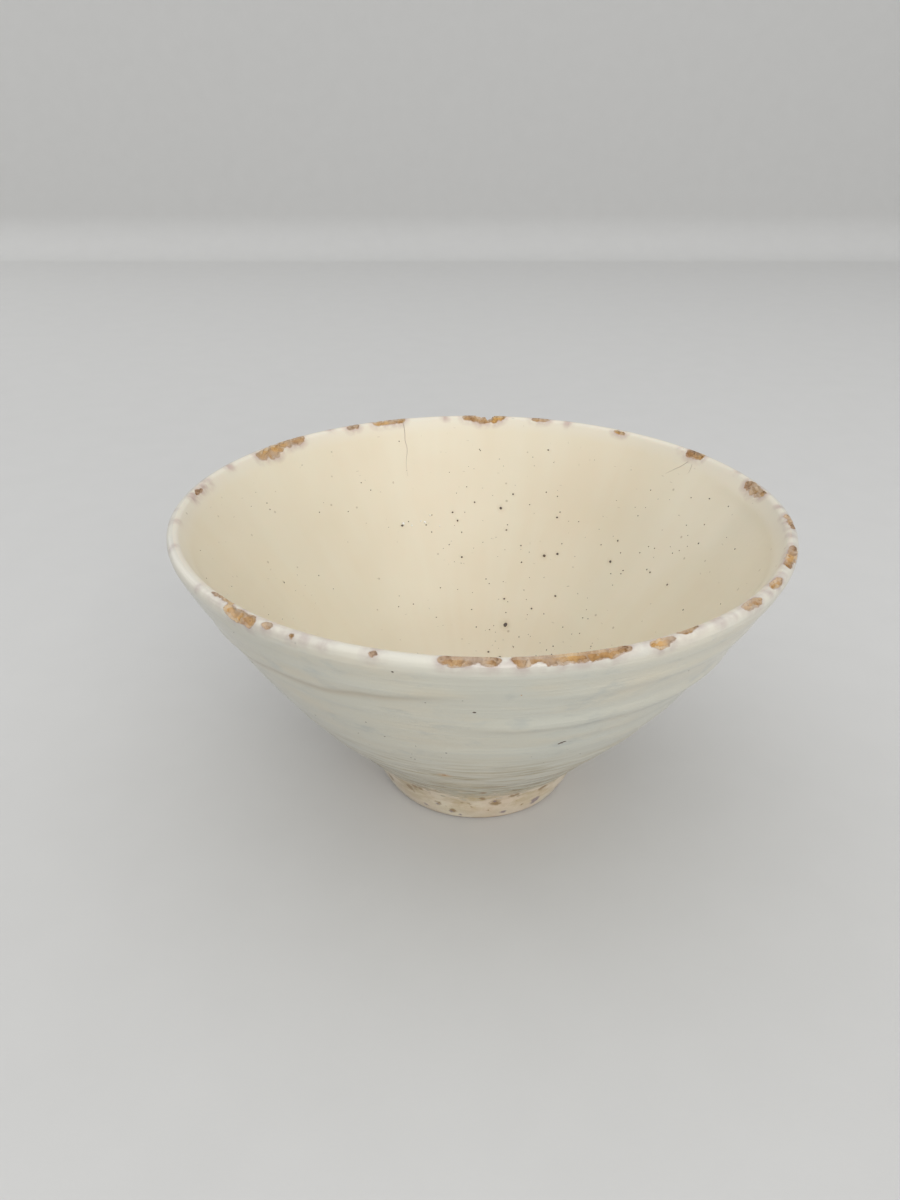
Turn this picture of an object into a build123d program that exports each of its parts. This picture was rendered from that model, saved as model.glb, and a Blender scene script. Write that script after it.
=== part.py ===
from build123d import *
import os

# A hand-thrown stoneware bowl for whisking powdered tea. A clay body with a turned
# foot ring carries three coats of slip and clear glaze: one poured inside, one poured
# over the outside and met at the crest of the rim, and a small one in the foot well.
# The crest is worn, so short scallops of bare clay break through both coats.
#
# +Z is up and the axis of the wheel is Z. The origin is the middle of the foot, on the
# surface that the bowl stands on. All sizes are millimetres.

# Overall
HEIGHT = 74.4               # floor to the crest of the rim
CREST_RADIUS = 68.8         # axis to the crest of the rim
LIP_RADIUS = 1.5            # rounding of the lip, half its thickness

# Outside
BELLY_RADIUS = 52.2         # outside of the wall half way up
BELLY_HEIGHT = 40.4
FOOT_TOP_RADIUS = 28.6      # where the wall runs into the foot ring
FOOT_TOP_HEIGHT = 10.2
FOOT_TOE_RADIUS = 24.2      # foot ring just above the floor
FOOT_TOE_BEVEL = 0.7        # bevel that keeps the foot's edge from chipping
FOOT_RING_WIDTH = 5.2       # width of the ring that touches the floor

# Inside
WALL_THICKNESS = 5.0        # clay and both coats, half way up the wall
FLOOR_HEIGHT = 13.0         # middle of the bowl's floor above the surface it stands on
FLOOR_DISH_RADIUS = 75.0    # the floor is a shallow dish
FLOOR_DISH_ANGLE = 12.0
COVE_RADIUS = 30.0          # round the floor runs up into the wall with
COVE_ANGLE = 36.0

# Foot well
WELL_DEPTH = 5.8            # hollow turned inside the foot ring
WELL_DRAFT = 1.6            # how much narrower the well is at its roof
WELL_CROWN = 0.5            # the roof rises a little to the middle

# Coats
COAT = 0.5                  # slip and glaze together
BARE_EDGE = 0.8             # the foot is wiped clean up to this height

# Each chip is a shallow scoop out of the rim: the angle of its middle in degrees
# anticlockwise from +X, its length along the rim, its depth, and how far it leans from
# the crest towards the outside (or, if negative, the inside) of the lip, in degrees.
CHIPS = [
    (7.5, 10.0, 0.9, -62.0),
    (30.0, 5.5, 0.8, -5.0),
    (87.0, 11.5, 0.9, -12.0),
    (111.5, 9.0, 0.8, -15.0),
    (142.5, 19.0, 1.1, -42.0),
    (173.5, 5.0, 0.8, -28.0),
    (230.0, 10.5, 1.1, 62.0),
    (267.0, 9.5, 0.9, 0.0),
    (281.5, 20.0, 1.0, 8.0),
    (299.7, 4.5, 0.8, -30.0),
    (314.5, 5.0, 0.8, 45.0),
    (334.5, 10.5, 0.9, 25.0),
]
CHIP_REACH = 7.0            # how far a scoop's cutter runs across the lip

MARGIN = 5.0                # how far construction faces run past the section


def glazed_section():
    """Half section of the glazed bowl, carried a little past the axis."""
    lip_height = HEIGHT - LIP_RADIUS
    lip_inside = (CREST_RADIUS - LIP_RADIUS, lip_height)
    lip_outside = (CREST_RADIUS + LIP_RADIUS, lip_height)
    belly = (BELLY_RADIUS, BELLY_HEIGHT)
    foot_top = (FOOT_TOP_RADIUS, FOOT_TOP_HEIGHT)
    ring_outside = FOOT_TOE_RADIUS - FOOT_TOE_BEVEL
    ring_inside = ring_outside - FOOT_RING_WIDTH
    well_radius = ring_inside - WELL_DRAFT
    well_roof = (-MARGIN, WELL_DEPTH + WELL_CROWN)
    with BuildSketch(Plane.XZ) as section:
        with BuildLine():
            Line((-MARGIN, FLOOR_HEIGHT), (0, FLOOR_HEIGHT))
            dish = JernArc((0, FLOOR_HEIGHT), (1, 0), FLOOR_DISH_RADIUS, FLOOR_DISH_ANGLE)
            cove = JernArc(dish @ 1, dish % 1, COVE_RADIUS, COVE_ANGLE)
            TangentArc(cove @ 1, lip_inside, tangent=cove % 1)
            ThreePointArc(lip_inside, (CREST_RADIUS, HEIGHT), lip_outside)
            ThreePointArc(lip_outside, belly, foot_top)
            Line(foot_top, (FOOT_TOE_RADIUS, FOOT_TOE_BEVEL))
            Line((FOOT_TOE_RADIUS, FOOT_TOE_BEVEL), (ring_outside, 0))
            Line((ring_outside, 0), (ring_inside, 0))
            Line((ring_inside, 0), (well_radius, WELL_DEPTH))
            Line((well_radius, WELL_DEPTH), well_roof)
            Line(well_roof, (-MARGIN, FLOOR_HEIGHT))
        make_face()
    return section.sketch


def region(*corners):
    """A flat face in the plane of the section, from its corners (radius, height)."""
    with BuildSketch(Plane.XZ) as face:
        with BuildLine():
            Polyline(*corners, close=True)
        make_face()
    return face.sketch


def above_wall():
    """Everything on the inside of a line that runs down the middle of the wall."""
    floor_middle = (FLOOR_HEIGHT + WELL_DEPTH) / 2
    wall_middle = BELLY_RADIUS - WALL_THICKNESS / 2
    return region(
        (0, HEIGHT + MARGIN),
        (CREST_RADIUS, HEIGHT + MARGIN),
        (CREST_RADIUS, HEIGHT - LIP_RADIUS),
        (wall_middle, BELLY_HEIGHT),
        (FOOT_TOP_RADIUS - WALL_THICKNESS / 2, floor_middle + WALL_THICKNESS / 2),
        (0, floor_middle),
    )


def chip(middle, length, depth, lean):
    """A wide cylinder that lies across the rim and dips into it by the chip's depth."""
    scoop_radius = length**2 / (8 * depth)
    lift = LIP_RADIUS - depth + scoop_radius
    across_lip = Pos(CREST_RADIUS, 0, HEIGHT - LIP_RADIUS) * Rot(0, lean, 0)
    scoop = across_lip * Pos(0, 0, lift) * Rot(0, 90, 0) * Cylinder(scoop_radius, CHIP_REACH)
    return Rot(0, 0, middle) * scoop


def turned(section, chips):
    """A section turned about the axis, with the chips cut out of it."""
    solid = revolve(section, Axis.Z)
    for cutter in chips:
        solid = solid - cutter
    return solid


wide = glazed_section()
right_half = region((0, -MARGIN), (CREST_RADIUS + MARGIN, -MARGIN),
                    (CREST_RADIUS + MARGIN, HEIGHT + MARGIN), (0, HEIGHT + MARGIN))
bare_band = region((0, -MARGIN), (CREST_RADIUS, -MARGIN),
                   (CREST_RADIUS, BARE_EDGE), (0, BARE_EDGE))
under_ring = region((0, -MARGIN), (FOOT_TOE_RADIUS - FOOT_RING_WIDTH / 2, -MARGIN),
                    (FOOT_TOE_RADIUS - FOOT_RING_WIDTH / 2, FLOOR_HEIGHT), (0, FLOOR_HEIGHT))

glazed = wide & right_half
clay = (offset(wide, -COAT) & right_half) + (glazed & bare_band)
coats = glazed - clay
lining = coats & above_wall()
skin = coats - above_wall()

chips = [chip(*sizes) for sizes in CHIPS]
pieces = {
    "clay_body": turned(clay, chips),
    "inside_coat": turned(lining, chips),
    "outside_coat": turned(skin - under_ring, chips),
    "foot_well_coat": turned(skin & under_ring, []),
}

os.makedirs("parts", exist_ok=True)
for name, piece in pieces.items():
    piece.label = name
    export_step(piece, f"parts/{name}.step")
    print(name, "volume", round(piece.volume), "mm3,", len(piece.solids()), "solid")
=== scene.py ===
# %% [markdown]
# # A tea bowl in slip and clear glaze
# The bowl is thrown from sandy stoneware, dipped in white slip, glazed clear, and chipped
# round its rim by years of use. This lesson makes it the way the potter did: the clay is
# turned first, the coats go on after it, and the damage comes last. The packed design is
# loaded before anything else, because every piece takes its size and place from it.

# %% Load the design
import math
import random

import bpy
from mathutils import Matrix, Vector, noise
from mathutils.bvhtree import BVHTree
from mathutils.geometry import interpolate_bezier


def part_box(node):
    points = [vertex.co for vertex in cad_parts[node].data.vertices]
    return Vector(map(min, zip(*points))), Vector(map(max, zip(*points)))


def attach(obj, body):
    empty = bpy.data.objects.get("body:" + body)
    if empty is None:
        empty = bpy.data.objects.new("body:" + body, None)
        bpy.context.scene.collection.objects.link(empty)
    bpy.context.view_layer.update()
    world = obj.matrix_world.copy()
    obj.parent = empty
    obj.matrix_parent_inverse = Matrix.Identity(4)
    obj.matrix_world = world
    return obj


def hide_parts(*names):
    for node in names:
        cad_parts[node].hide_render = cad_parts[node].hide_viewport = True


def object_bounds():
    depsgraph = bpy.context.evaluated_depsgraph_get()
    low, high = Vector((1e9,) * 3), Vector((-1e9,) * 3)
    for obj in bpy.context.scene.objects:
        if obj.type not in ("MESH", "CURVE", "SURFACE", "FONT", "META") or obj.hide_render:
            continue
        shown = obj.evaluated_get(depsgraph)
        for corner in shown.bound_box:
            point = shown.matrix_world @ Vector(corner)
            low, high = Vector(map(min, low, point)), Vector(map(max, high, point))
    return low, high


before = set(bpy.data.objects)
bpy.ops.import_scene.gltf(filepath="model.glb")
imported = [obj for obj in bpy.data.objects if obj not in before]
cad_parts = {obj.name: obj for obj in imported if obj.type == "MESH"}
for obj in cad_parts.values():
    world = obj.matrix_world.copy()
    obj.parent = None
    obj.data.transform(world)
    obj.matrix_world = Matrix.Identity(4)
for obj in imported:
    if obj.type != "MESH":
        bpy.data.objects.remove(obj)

MM = 0.001
design_low, design_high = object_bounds()
print("design box, mm:", [round(v / MM, 1) for v in (*design_low, *design_high)])

# %% [markdown]
# ## Sizes that the whole bowl shares
# The height and the width come from the design. The lip is half a circle in section, so
# its radius places the crest of the rim inside the widest point. Everything below is in
# millimetres, as (distance from the axis, height above the table), and is multiplied by
# MM where it becomes geometry.

# %% Shared sizes
LIP = 1.5                                     # rounding of the lip
COAT = 0.5                                    # slip and glaze together
CREST_HEIGHT = design_high.z / MM
CREST_RADIUS = design_high.x / MM - LIP
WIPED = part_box("outside_coat")[0].z / MM      # the foot is bare clay below this height
FOOT_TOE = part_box("clay_body")[0].z / MM      # the surface that the bowl stands on
AROUND = 400                                  # faces round the bowl
print("crest radius", round(CREST_RADIUS, 2), "height", round(CREST_HEIGHT, 2))
print("wiped up to", round(WIPED, 2), "standing on", round(FOOT_TOE, 2))

# %% [markdown]
# ## The section
# A thrown bowl is round, so one half section describes it. The points are only those that
# the shape needs, and a smooth curve runs through them: each stretch is a Bezier curve
# whose handles follow the line between the two neighbours. The step sets how close the
# rows of faces lie: fine at the lip, coarser along the wall.


# %% Draw smooth lines through a few points
def curve_through(points, step):
    """Points on a smooth curve through the given ones, about one step apart."""
    knots = [Vector((r, z, 0)) for r, z in points]
    ends = [knots[0] * 2 - knots[1]] + knots + [knots[-1] * 2 - knots[-2]]
    line = [knots[0]]
    for before, a, b, after in zip(ends, ends[1:], ends[2:], ends[3:]):
        reach = (b - a).length / 3
        leave = a + (b - before).normalized() * reach
        arrive = b - (after - a).normalized() * reach
        count = max(2, math.ceil((b - a).length / step) + 1)
        line += interpolate_bezier(a, leave, arrive, b, count)[1:]
    return [(p.x, p.y) for p in line]


def lip_arc(radius, start, end, count):
    """Part of the lip's half circle; 0 degrees is the outside and 180 the inside."""
    centre_height = CREST_HEIGHT - LIP
    turns = [math.radians(start + (end - start) * i / count) for i in range(count + 1)]
    return [(CREST_RADIUS + radius * math.cos(t), centre_height + radius * math.sin(t))
            for t in turns]


def sunk(line, depth):
    """The same line moved to its left by depth, as the underside of a coat is."""
    moved = []
    for i, (r, z) in enumerate(line):
        (r0, z0), (r1, z1) = line[max(i - 1, 0)], line[min(i + 1, len(line) - 1)]
        length = math.hypot(r1 - r0, z1 - z0)
        moved.append((r - (z1 - z0) / length * depth, z + (r1 - r0) / length * depth))
    return moved


print("10 mm in steps of 2 mm:", len(curve_through([(0, 0), (10, 0)], 2)), "points")

# %% [markdown]
# The outside runs from the crest down to the foot. It stands up a little straighter just
# under the lip, where the potter's fingers closed the rim, and it runs into the small
# turned foot with a soft corner. The inside is a straight cone that rounds into a shallow
# pool. Both could be one curve each, but split at these places, every stretch gets rows as
# close together as its details need.

# %% The two faces of the wall
outer_lip = lip_arc(LIP, 90, 24, 5)
inner_lip = lip_arc(LIP, 90, 147, 5)
LIP_STEP = 0.32                               # rows just under the lip, where the chips are
WALL_STEP = 0.66
FINE_STEP = 0.42                              # rows near the foot, where the tool left lines
FOOT_STEP = 0.40
LIP_KNOTS = [outer_lip[-1], (70.27, 72.75), (70.03, 71.7), (69.36, 70.4), (68.12, 68.2)]
UPPER_KNOTS = [LIP_KNOTS[-1], (66.3, 64.8), (61.9, 56.7), (56.5, 47.4), (50.7, 38.2),
               (44.0, 28.9)]
LOWER_KNOTS = [UPPER_KNOTS[-1], (36.0, 19.6), (31.0, 13.5), (28.7, 10.9)]
FOOT_KNOTS = [LOWER_KNOTS[-1], (27.4, 8.6), (25.8, 4.2), (24.2, WIPED)]
FLOOR_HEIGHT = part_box("inside_coat")[0].z / MM + COAT
INSIDE_KNOTS = [inner_lip[-1], (63.9, 68.0), (58.7, 60.0), (52.2, 50.0), (45.0, 40.0),
                (37.0, 30.0), (27.4, 20.0), (21.4, 16.4), (15.0, 14.3),
                (8.0, FLOOR_HEIGHT + 0.3)]
WELL_KNOTS = [(18.3, 0.0), (17.7, 2.4), (16.9, 5.0), (15.4, 6.0), (8.0, 6.15)]
WELL_ROOF = 6.3

under_lip = curve_through(LIP_KNOTS, LIP_STEP)
upper_wall = curve_through(UPPER_KNOTS, WALL_STEP)
lower_wall = curve_through(LOWER_KNOTS, FINE_STEP)
outer_wall = under_lip + upper_wall[1:] + lower_wall[1:]
foot_side = curve_through(FOOT_KNOTS, FOOT_STEP)
inner_wall = curve_through(INSIDE_KNOTS, WALL_STEP) + [(0.0, FLOOR_HEIGHT)]
outside_line = outer_lip + outer_wall[1:] + foot_side[1:]
inside_line = inner_lip + inner_wall[1:]
print("outside", len(outside_line), "points; inside", len(inside_line), "points")


# %% [markdown]
# ## From section to solid
# In Blender a potter's wheel is the Screw modifier with no rise: it turns a drawn section
# about Z and welds the seam. The Spin tool in edit mode does the same, but it gets slow
# on a section this fine. The section itself is drawn as by hand: a small plane is merged
# into one vertex, and that vertex is extruded from point to point.


# %% Draw a section and turn it
def deselect_all():
    bpy.ops.object.select_all(action="DESELECT")


def apply_all(piece):
    """Apply the piece's modifiers, top to bottom."""
    deselect_all()
    bpy.context.view_layer.objects.active = piece
    piece.select_set(True)
    for modifier in list(piece.modifiers):
        bpy.ops.object.modifier_apply(modifier=modifier.name)


def draw_section(name, line, closed):
    """A chain of edges in the plane y = 0; closed joins its end to its start."""
    line = line + line[:1] if closed else line
    deselect_all()
    bpy.ops.mesh.primitive_plane_add(size=MM, location=(line[0][0] * MM, 0, line[0][1] * MM))
    piece = bpy.context.object
    piece.name = piece.data.name = name
    bpy.ops.object.mode_set(mode="EDIT")
    bpy.ops.mesh.merge(type="CENTER")
    for (r0, z0), (r1, z1) in zip(line, line[1:]):
        step = ((r1 - r0) * MM, 0, (z1 - z0) * MM)
        bpy.ops.mesh.extrude_region_move(TRANSFORM_OT_translate={"value": step})
    bpy.ops.mesh.select_all(action="SELECT")
    bpy.ops.mesh.remove_doubles(threshold=0.001 * MM)
    bpy.ops.object.mode_set(mode="OBJECT")
    bpy.ops.object.transform_apply(location=True, rotation=True, scale=True)
    return piece


def turn(piece, around=AROUND):
    """Turn a drawn section into a closed solid with its faces pointing out."""
    wheel = piece.modifiers.new("wheel", "SCREW")
    wheel.axis = "Z"
    wheel.steps = wheel.render_steps = around
    wheel.use_merge_vertices = True
    wheel.merge_threshold = 0.001 * MM
    apply_all(piece)
    bpy.ops.object.mode_set(mode="EDIT")
    bpy.ops.mesh.select_all(action="SELECT")
    bpy.ops.mesh.remove_doubles(threshold=0.001 * MM)
    bpy.ops.mesh.normals_make_consistent(inside=False)
    bpy.ops.object.mode_set(mode="OBJECT")
    print(piece.name, len(piece.data.vertices), "vertices")
    return piece


# %% [markdown]
# ## Clay and coats
# The clay is one lump: wall, floor and foot ring together. Each coat is a shell half a
# millimetre thick that lies on it. A coat's hidden underside follows the clay with far
# fewer rows, because nobody sees it. The two pours meet at the crest of the rim.

# %% Turn the clay
def every(line, count):
    """Every count-th point of a line, and always its last."""
    kept = line[:-1:count]
    return kept + [line[-1]]


under_outside = sunk(outside_line, -COAT)
under_inside = sunk(inside_line, COAT)
under_inside[-1] = (0.0, FLOOR_HEIGHT - COAT)
crest_under = (CREST_RADIUS, CREST_HEIGHT - COAT)
under_outside[0] = under_inside[0] = crest_under
LIP_ROWS = 14                                 # rows kept close together under the lip
HIDDEN_ROWS = 6                               # one row in six is kept where nobody looks
under_outside = under_outside[:LIP_ROWS] + every(under_outside[LIP_ROWS:], HIDDEN_ROWS)
under_inside = under_inside[:LIP_ROWS] + every(under_inside[LIP_ROWS:], HIDDEN_ROWS)

WELL_STEP = 0.5
well_line = [(r, z + FOOT_TOE) for r, z in curve_through(WELL_KNOTS, WELL_STEP)]
well_line += [(0.0, WELL_ROOF)]
ring = [(24.2, WIPED), (24.15, 0.45), (23.9, 0.12), (23.4, 0.0), (21.8, 0.0),
        (20.0, 0.0), (18.7, 0.0), (18.3, 0.25)]
under_well = sunk(well_line, COAT)
under_well[-1] = (0.0, WELL_ROOF + COAT)

clay_line = list(reversed(under_inside)) + under_outside[1:] + ring + under_well[2:]
stoneware_body = turn(draw_section("stoneware_body", clay_line, closed=False))

# %% Turn the three coats
WELL_AROUND = 192                             # the small well needs fewer faces round it
inside_glaze = turn(draw_section(
    "inside_glaze", inside_line[::-1] + under_inside, closed=False))
outside_glaze = turn(draw_section(
    "outside_glaze", outside_line + under_outside[::-1], closed=True))
well_glaze = turn(draw_section(
    "foot_well_glaze", well_line[::-1][:-2] + under_well[2:], closed=False), around=WELL_AROUND)

# %% [markdown]
# ## Finger rings
# The wall isn't smooth outside. The potter's fingers left soft rings, one long fold runs
# across the left of the front where the slip was dragged, and a broad ring climbs and
# falls on the right. A Displace modifier pushes the face out by a painted weight, and the
# weight comes from a short formula of the angle and the height, so each ring can fade and
# wander. Near the foot the turning tool left finer lines.


# %% Weigh the rings
def bump_at(value, centre, width):
    """A soft hill of height 1 at the centre."""
    return math.exp(-((value - centre) / width) ** 2)


def window(angle, start, end, fade=8.0):
    """1 between two angles, anticlockwise, fading to 0 on both sides."""
    middle = (start + end) / 2
    off = abs((angle - middle + 180) % 360 - 180)
    return 1 - min(1.0, max(0.0, (off - (end - start) / 2) / fade))


def follow(angle, marks):
    """Height at an angle on a line through given (angle, height) marks."""
    if angle <= marks[0][0]:
        return marks[0][1]
    for (a0, h0), (a1, h1) in zip(marks, marks[1:]):
        if angle <= a1:
            share = (angle - a0) / (a1 - a0)
            return h0 + (h1 - h0) * share * share * (3 - 2 * share)
    return marks[-1][1]


FOLD = [(205, 58.2), (223, 59.2), (232, 60.6), (241, 60.9), (251, 63.0), (262, 64.6)]
BROAD_RING = [(262, 54.4), (283, 54.8), (292, 55.2), (301, 54.8), (309, 54.2), (335, 53.0)]
UPPER_RING = [(275, 64.2), (294, 64.8), (320, 63.6)]
RING_RISE = 1.2                               # how far a full weight stands out, mm


def ring_weight(angle, height):
    """How far the wall stands out here, as a share of RING_RISE."""
    turn_phase = angle / 360
    weight = 0.20
    for k, (centre, width, size) in enumerate(
            [(66.0, 2.6, 0.13), (57.5, 3.2, 0.14), (48.0, 3.4, 0.16), (39.5, 2.8, 0.15),
             (32.0, 2.2, 0.14), (25.5, 1.8, 0.12), (19.0, 1.5, 0.10)]):
        drift = 1.6 * math.sin(math.radians(angle + 70 * k)) + 2.0 * turn_phase
        swell = 0.65 + 0.35 * math.sin(math.radians(2 * angle + 55 * k))
        weight += size * swell * bump_at(height, centre + drift, width)
    edge = follow(angle, FOLD)
    ledge = 1 / (1 + math.exp(-(height - edge) / 0.5))
    weight += 0.42 * ledge * bump_at(height, edge, 3.4) * window(angle, 205, 256, 12)
    weight += 0.50 * bump_at(height, follow(angle, BROAD_RING), 2.1) * window(angle, 276, 330, 12)
    weight += 0.20 * bump_at(height, follow(angle, UPPER_RING), 1.5) * window(angle, 284, 318, 10)
    a = math.radians(angle)
    here = Vector((2.2 * math.cos(a), 2.2 * math.sin(a), height * 0.95))
    weight += 0.16 * noise.noise(here) * bump_at(height, 18.0, 9.0)
    here.z = height * 0.30
    weight += 0.10 * noise.noise(here)
    fade_top = min(1.0, max(0.0, (CREST_HEIGHT - 2.2 - height) / 3.0))
    return weight * fade_top


def angle_of(co):
    return math.degrees(math.atan2(co.y, co.x)) % 360


def outer_radius_at(height):
    """Radius of the plain outside at a height."""
    line = outside_line
    for (r0, z0), (r1, z1) in zip(line, line[1:]):
        if z1 <= height <= z0:
            return r1 + (r0 - r1) * (height - z1) / max(z0 - z1, 1e-6)
    return line[-1][0]


# %% Push the rings out
SKIN = 0.1                                    # vertices this near the outside belong to it
rings = outside_glaze.vertex_groups.new(name="rings")
for vertex in outside_glaze.data.vertices:
    radius = math.hypot(vertex.co.x, vertex.co.y) / MM
    height = vertex.co.z / MM
    if radius > outer_radius_at(height) - SKIN:
        rings.add([vertex.index], max(0.0, ring_weight(angle_of(vertex.co), height)), "REPLACE")
swell = outside_glaze.modifiers.new("rings", "DISPLACE")
swell.vertex_group = "rings"
swell.strength = RING_RISE * MM
swell.mid_level = 0.0
print("rings moved", sum(1 for v in outside_glaze.data.vertices if v.groups), "vertices")
apply_all(outside_glaze)
outside_glaze.vertex_groups.clear()

# %% [markdown]
# ## The bevel inside the lip
# Along the front right and the right, and faintly at the front left, the potter's thumb
# left a soft ridge just inside the lip. A chamfer in the section would run all the way
# round, so the ridge is a second painted weight, which can fade in and out along the rim.

# %% Push the bevel out
BEVEL_RISE = 0.22                             # how far the ridge stands out, mm
BEVEL_DROP = 3.6                              # its middle below the crest
BEVEL_WIDTH = 1.5
bevel = inside_glaze.vertex_groups.new(name="bevel")
for vertex in inside_glaze.data.vertices:
    height = vertex.co.z / MM
    if CREST_HEIGHT - 8 < height < CREST_HEIGHT - 0.9:
        angle = angle_of(vertex.co)
        share = bump_at(height, CREST_HEIGHT - BEVEL_DROP, BEVEL_WIDTH)
        share *= max(window(angle, 292, 372, 14), window(angle, 192, 236, 14) * 0.5)
        bevel.add([vertex.index], share, "REPLACE")
push = inside_glaze.modifiers.new("bevel", "DISPLACE")
push.vertex_group = "bevel"
push.strength = BEVEL_RISE * MM
push.mid_level = 0.0
print("bevel moved", sum(1 for v in inside_glaze.data.vertices if v.groups), "vertices")
apply_all(inside_glaze)
inside_glaze.vertex_groups.clear()

# %% [markdown]
# ## Chips
# The rim has knocked against other pots for years. Each chip took the glaze off and a
# little clay with it. A chip is modelled as what is missing: a row of small overlapping
# lumps sunk into the lip. All the lumps are joined, remeshed into one skin, roughened by
# noise, and cut from the coats and the clay with one Boolean each, so a chip shows the
# coat's broken edge and rough clay below it.

# %% Where the rim is chipped
# start and end in degrees anticlockwise from +X, lean from the crest in degrees (minus
# is towards the inside), width across the lip and depth in millimetres
CHIPS = [
    (4.4, 12.0, -46, 3.8, 0.66),
    (28.2, 33.0, -22, 3.8, 1.35),
    (51.2, 53.6, -40, 1.2, 0.60),
    (71.4, 74.6, -18, 1.8, 0.75),
    (81.8, 92.4, -24, 3.4, 1.05),
    (83.6, 90.4, -38, 4.8, 1.50),
    (85.2, 88.8, -6, 4.6, 2.10),
    (107.5, 115.6, -10, 4.0, 1.3),
    (119.7, 122.2, -34, 1.7, 0.72),
    (134.6, 142.0, -20, 4.2, 1.40),
    (141.6, 149.6, -62, 4.6, 1.00),
    (172.2, 174.6, -44, 1.5, 0.66),
    (221.4, 227.0, -14, 1.3, 0.60),
    (226.2, 233.4, 42, 3.8, 0.90),
    (234.8, 236.8, 32, 1.7, 0.66),
    (240.1, 241.0, 40, 1.2, 0.58),
    (253.0, 254.4, 40, 1.7, 0.62),
    (263.0, 271.2, 16, 3.0, 0.80),
    (272.9, 290.0, 16, 3.2, 0.82),
    (292.9, 297.2, 22, 2.8, 0.74),
    (298.4, 302.2, -26, 2.4, 0.74),
    (312.4, 316.9, 18, 3.3, 0.74),
    (322.1, 325.2, 14, 2.0, 0.66),
    (330.0, 339.4, 16, 3.3, 0.84),
    (346.8, 353.6, 12, 1.7, 0.66),
]


def on_lip(angle, lean, lift=0.0):
    """A point on the lip, lifted off its surface, and the way out of the surface."""
    a, t = math.radians(angle), math.radians(lean)
    out = Vector((math.cos(a) * math.sin(t), math.sin(a) * math.sin(t), math.cos(t)))
    centre = Vector((math.cos(a) * CREST_RADIUS, math.sin(a) * CREST_RADIUS, CREST_HEIGHT - LIP))
    return (centre + out * (LIP + lift)) * MM, out


def add_lump(point, out, along, length, width, depth):
    """One ball, stretched along the rim and laid into the lip."""
    deselect_all()
    bpy.ops.mesh.primitive_ico_sphere_add(subdivisions=3, radius=1.0)
    lump = bpy.context.object
    across = out.cross(along).normalized()
    height = depth * 1.5
    centre = point + out * (height - depth) * MM
    for vertex in lump.data.vertices:
        x, y, z = vertex.co
        stretched = along * x * length / 2 + across * y * width / 2 + out * z * height
        vertex.co = centre + stretched * MM
    return lump


# %% Lay the lumps
LUMP_LENGTH = 1.8                             # along the rim, mm
OVERLAP = 1.9                                 # each lump reaches into its neighbours
END_GAP = 0.6                                 # degrees that the end lumps stay inside a chip
dice = random.Random(7)
lumps = []
for start, end, lean, width, depth in CHIPS:
    long = (end - start) * math.radians(1) * CREST_RADIUS
    count = max(1, round(long / LUMP_LENGTH))
    margin = END_GAP if count > 2 else 0.0
    for k in range(count):
        share = (k + 0.5) / count
        angle = start + margin + (end - start - 2 * margin) * share
        taper = 1.0 if count < 3 else 0.72 + 0.28 * math.sin(math.pi * share)
        point, out = on_lip(angle, lean + dice.uniform(-9, 9))
        along = Vector((-math.sin(math.radians(angle)), math.cos(math.radians(angle)), 0))
        size = width * taper * dice.uniform(0.72, 1.25)
        reach = long / count * (1.0 if count == 1 else OVERLAP)
        lumps.append(add_lump(point, out, along, reach, size, depth * dice.uniform(0.9, 1.1)))
print("chips", len(CHIPS), "lumps", len(lumps))

# %% Join and roughen them
deselect_all()
for lump in lumps:
    lump.select_set(True)
bpy.context.view_layer.objects.active = lumps[0]
bpy.ops.object.join()
chip_cutter = bpy.context.object
chip_cutter.name = "chip_cutter"
skin = chip_cutter.modifiers.new("skin", "REMESH")
skin.mode = "VOXEL"
skin.voxel_size = 0.2 * MM
for name, size, strength in (("ragged", 1.1, 1.15), ("gritty", 0.42, 0.40)):
    cloud = bpy.data.textures.new(name, "CLOUDS")
    cloud.noise_scale = size * MM
    rough = chip_cutter.modifiers.new(name, "DISPLACE")
    rough.texture = cloud
    rough.texture_coords = "LOCAL"
    rough.strength = strength * MM
apply_all(chip_cutter)
print("cutter faces", len(chip_cutter.data.polygons))

# %% [markdown]
# A Boolean cut takes the cutter's material onto the faces that it makes. So the cutter
# wears broken glaze while it cuts the coats, and raw chipped clay while it cuts the body.


# %% Cut the chips
def new_material(name):
    material = bpy.data.materials.new(name)
    material.use_nodes = True
    return material


warm_glaze = new_material("warm_glossy_glaze")
cool_glaze = new_material("cool_satin_glaze")
broken_glaze = new_material("broken_glaze")
bare_stoneware = new_material("bare_stoneware")
chipped_clay = new_material("chipped_clay")

inside_glaze.data.materials.append(warm_glaze)
outside_glaze.data.materials.append(cool_glaze)
well_glaze.data.materials.append(cool_glaze)
stoneware_body.data.materials.append(bare_stoneware)


def chip(piece, broken):
    """Cut the chips out of a piece; the new faces wear the broken material."""
    chip_cutter.data.materials.clear()
    chip_cutter.data.materials.append(broken)
    cut = piece.modifiers.new("chips", "BOOLEAN")
    cut.object = chip_cutter
    cut.operation = "DIFFERENCE"
    cut.solver = "MANIFOLD"
    cut.material_mode = "TRANSFER"
    apply_all(piece)
    print(piece.name, "after chips:", len(piece.data.polygons), "faces,",
          [m.name for m in piece.data.materials])


chip(inside_glaze, broken_glaze)
chip(outside_glaze, broken_glaze)
chip(stoneware_body, chipped_clay)
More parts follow.
